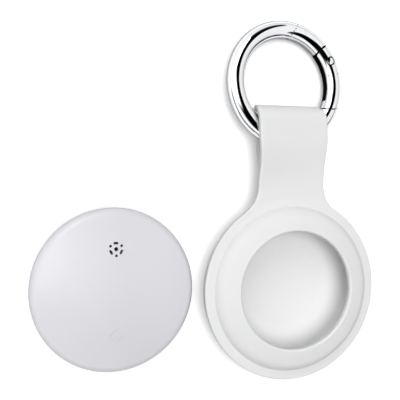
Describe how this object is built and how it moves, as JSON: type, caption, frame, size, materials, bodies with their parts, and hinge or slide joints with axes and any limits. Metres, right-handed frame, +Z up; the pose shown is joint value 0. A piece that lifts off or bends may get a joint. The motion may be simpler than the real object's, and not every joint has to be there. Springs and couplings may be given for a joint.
{
  "type": "bluetooth tracker tag with loop holder",
  "caption": "Round pebble-shaped item tracker tag beside a folded white silicone loop holder with a round window and a hinged spring-gate key ring.",
  "frame": {"origin": "on the surface it lies on, under the centre of the holder's round lobe", "axes": "+Z up, out of the faces of tag and holder; +Y from the holder's lobe along its strap to the ring; +X to the right as seen from above, so the tag lies on the -X side"},
  "size_m": [0.0721, 0.0747, 0.0091],
  "materials": {
    "white_shell": "smooth satin gloss",
    "silicone": "matte white silicone",
    "ring_chrome": "polished",
    "pin_steel": "turned",
    "cell_steel": "stamped",
    "contact_brass": "plated",
    "board_green": "solder mask",
    "inner_plastic": "moulded",
    "black_parts": "matt",
    "seal_rubber": "matt"
  },
  "bodies": {
    "holder_back": {"back_half": "silicone", "strap_fold": "silicone"},
    "holder_front": {"front_half": "silicone"},
    "ring": {"ring_body": "ring_chrome"},
    "gate": {"ring_gate": "ring_chrome", "gate_pin": "pin_steel", "gate_spring": "pin_steel"},
    "tag": {"rear_housing": "white_shell", "chassis": "inner_plastic", "coin_cell": "cell_steel", "cell_contact_plus": "contact_brass", "cell_contact_minus": "contact_brass", "circuit_board": "board_green", "radio_can": "cell_steel", "board_parts": "black_parts", "antenna": "contact_brass", "press_switch": "cell_steel", "piezo_sounder": "contact_brass"},
    "tag_front": {"top_shell": "white_shell", "sound_mesh": "black_parts"},
    "tag_door": {"battery_door": "white_shell", "door_seal": "seal_rubber"}
  },
  "joints": [
    {"name": "holder_open", "type": "hinge", "parent": "holder_back", "child": "holder_front", "pos_m": [0, 0.03112, 0.00421], "axis": [-1, 0, 0], "range_deg": [0, 30], "deforming": ["strap_fold"]},
    {"name": "ring_turn", "type": "hinge", "parent": "holder_back", "child": "ring", "pos_m": [-0.00045, 0.04247, 0.00318], "axis": [0.0698, 0.0904, 0.9935], "continuous": true},
    {"name": "gate_open", "type": "hinge", "parent": "ring", "child": "gate", "pos_m": [0.00982, 0.04752, 0.002], "axis": [-0.0698, -0.0904, -0.9935], "range_deg": [0, 14], "stiffness_Nm_per_rad": 0.02, "springref_deg": -28.65, "deforming": ["gate_spring"]},
    {"name": "tag_lift", "type": "slide", "parent": "holder_back", "child": "tag", "axis": [0, 0, 1], "range_m": [0, 0.02]},
    {"name": "front_press", "type": "slide", "parent": "tag", "child": "tag_front", "axis": [0, 0, -1], "range_m": [0, 0.0003], "stiffness_N_per_m": 2000, "springref_m": -0.0005},
    {"name": "door_twist", "type": "hinge", "parent": "tag", "child": "tag_door", "pos_m": [-0.0371, 0.0014, 0.0012], "axis": [0, 0, 1], "range_deg": [0, 25]}
  ]
}
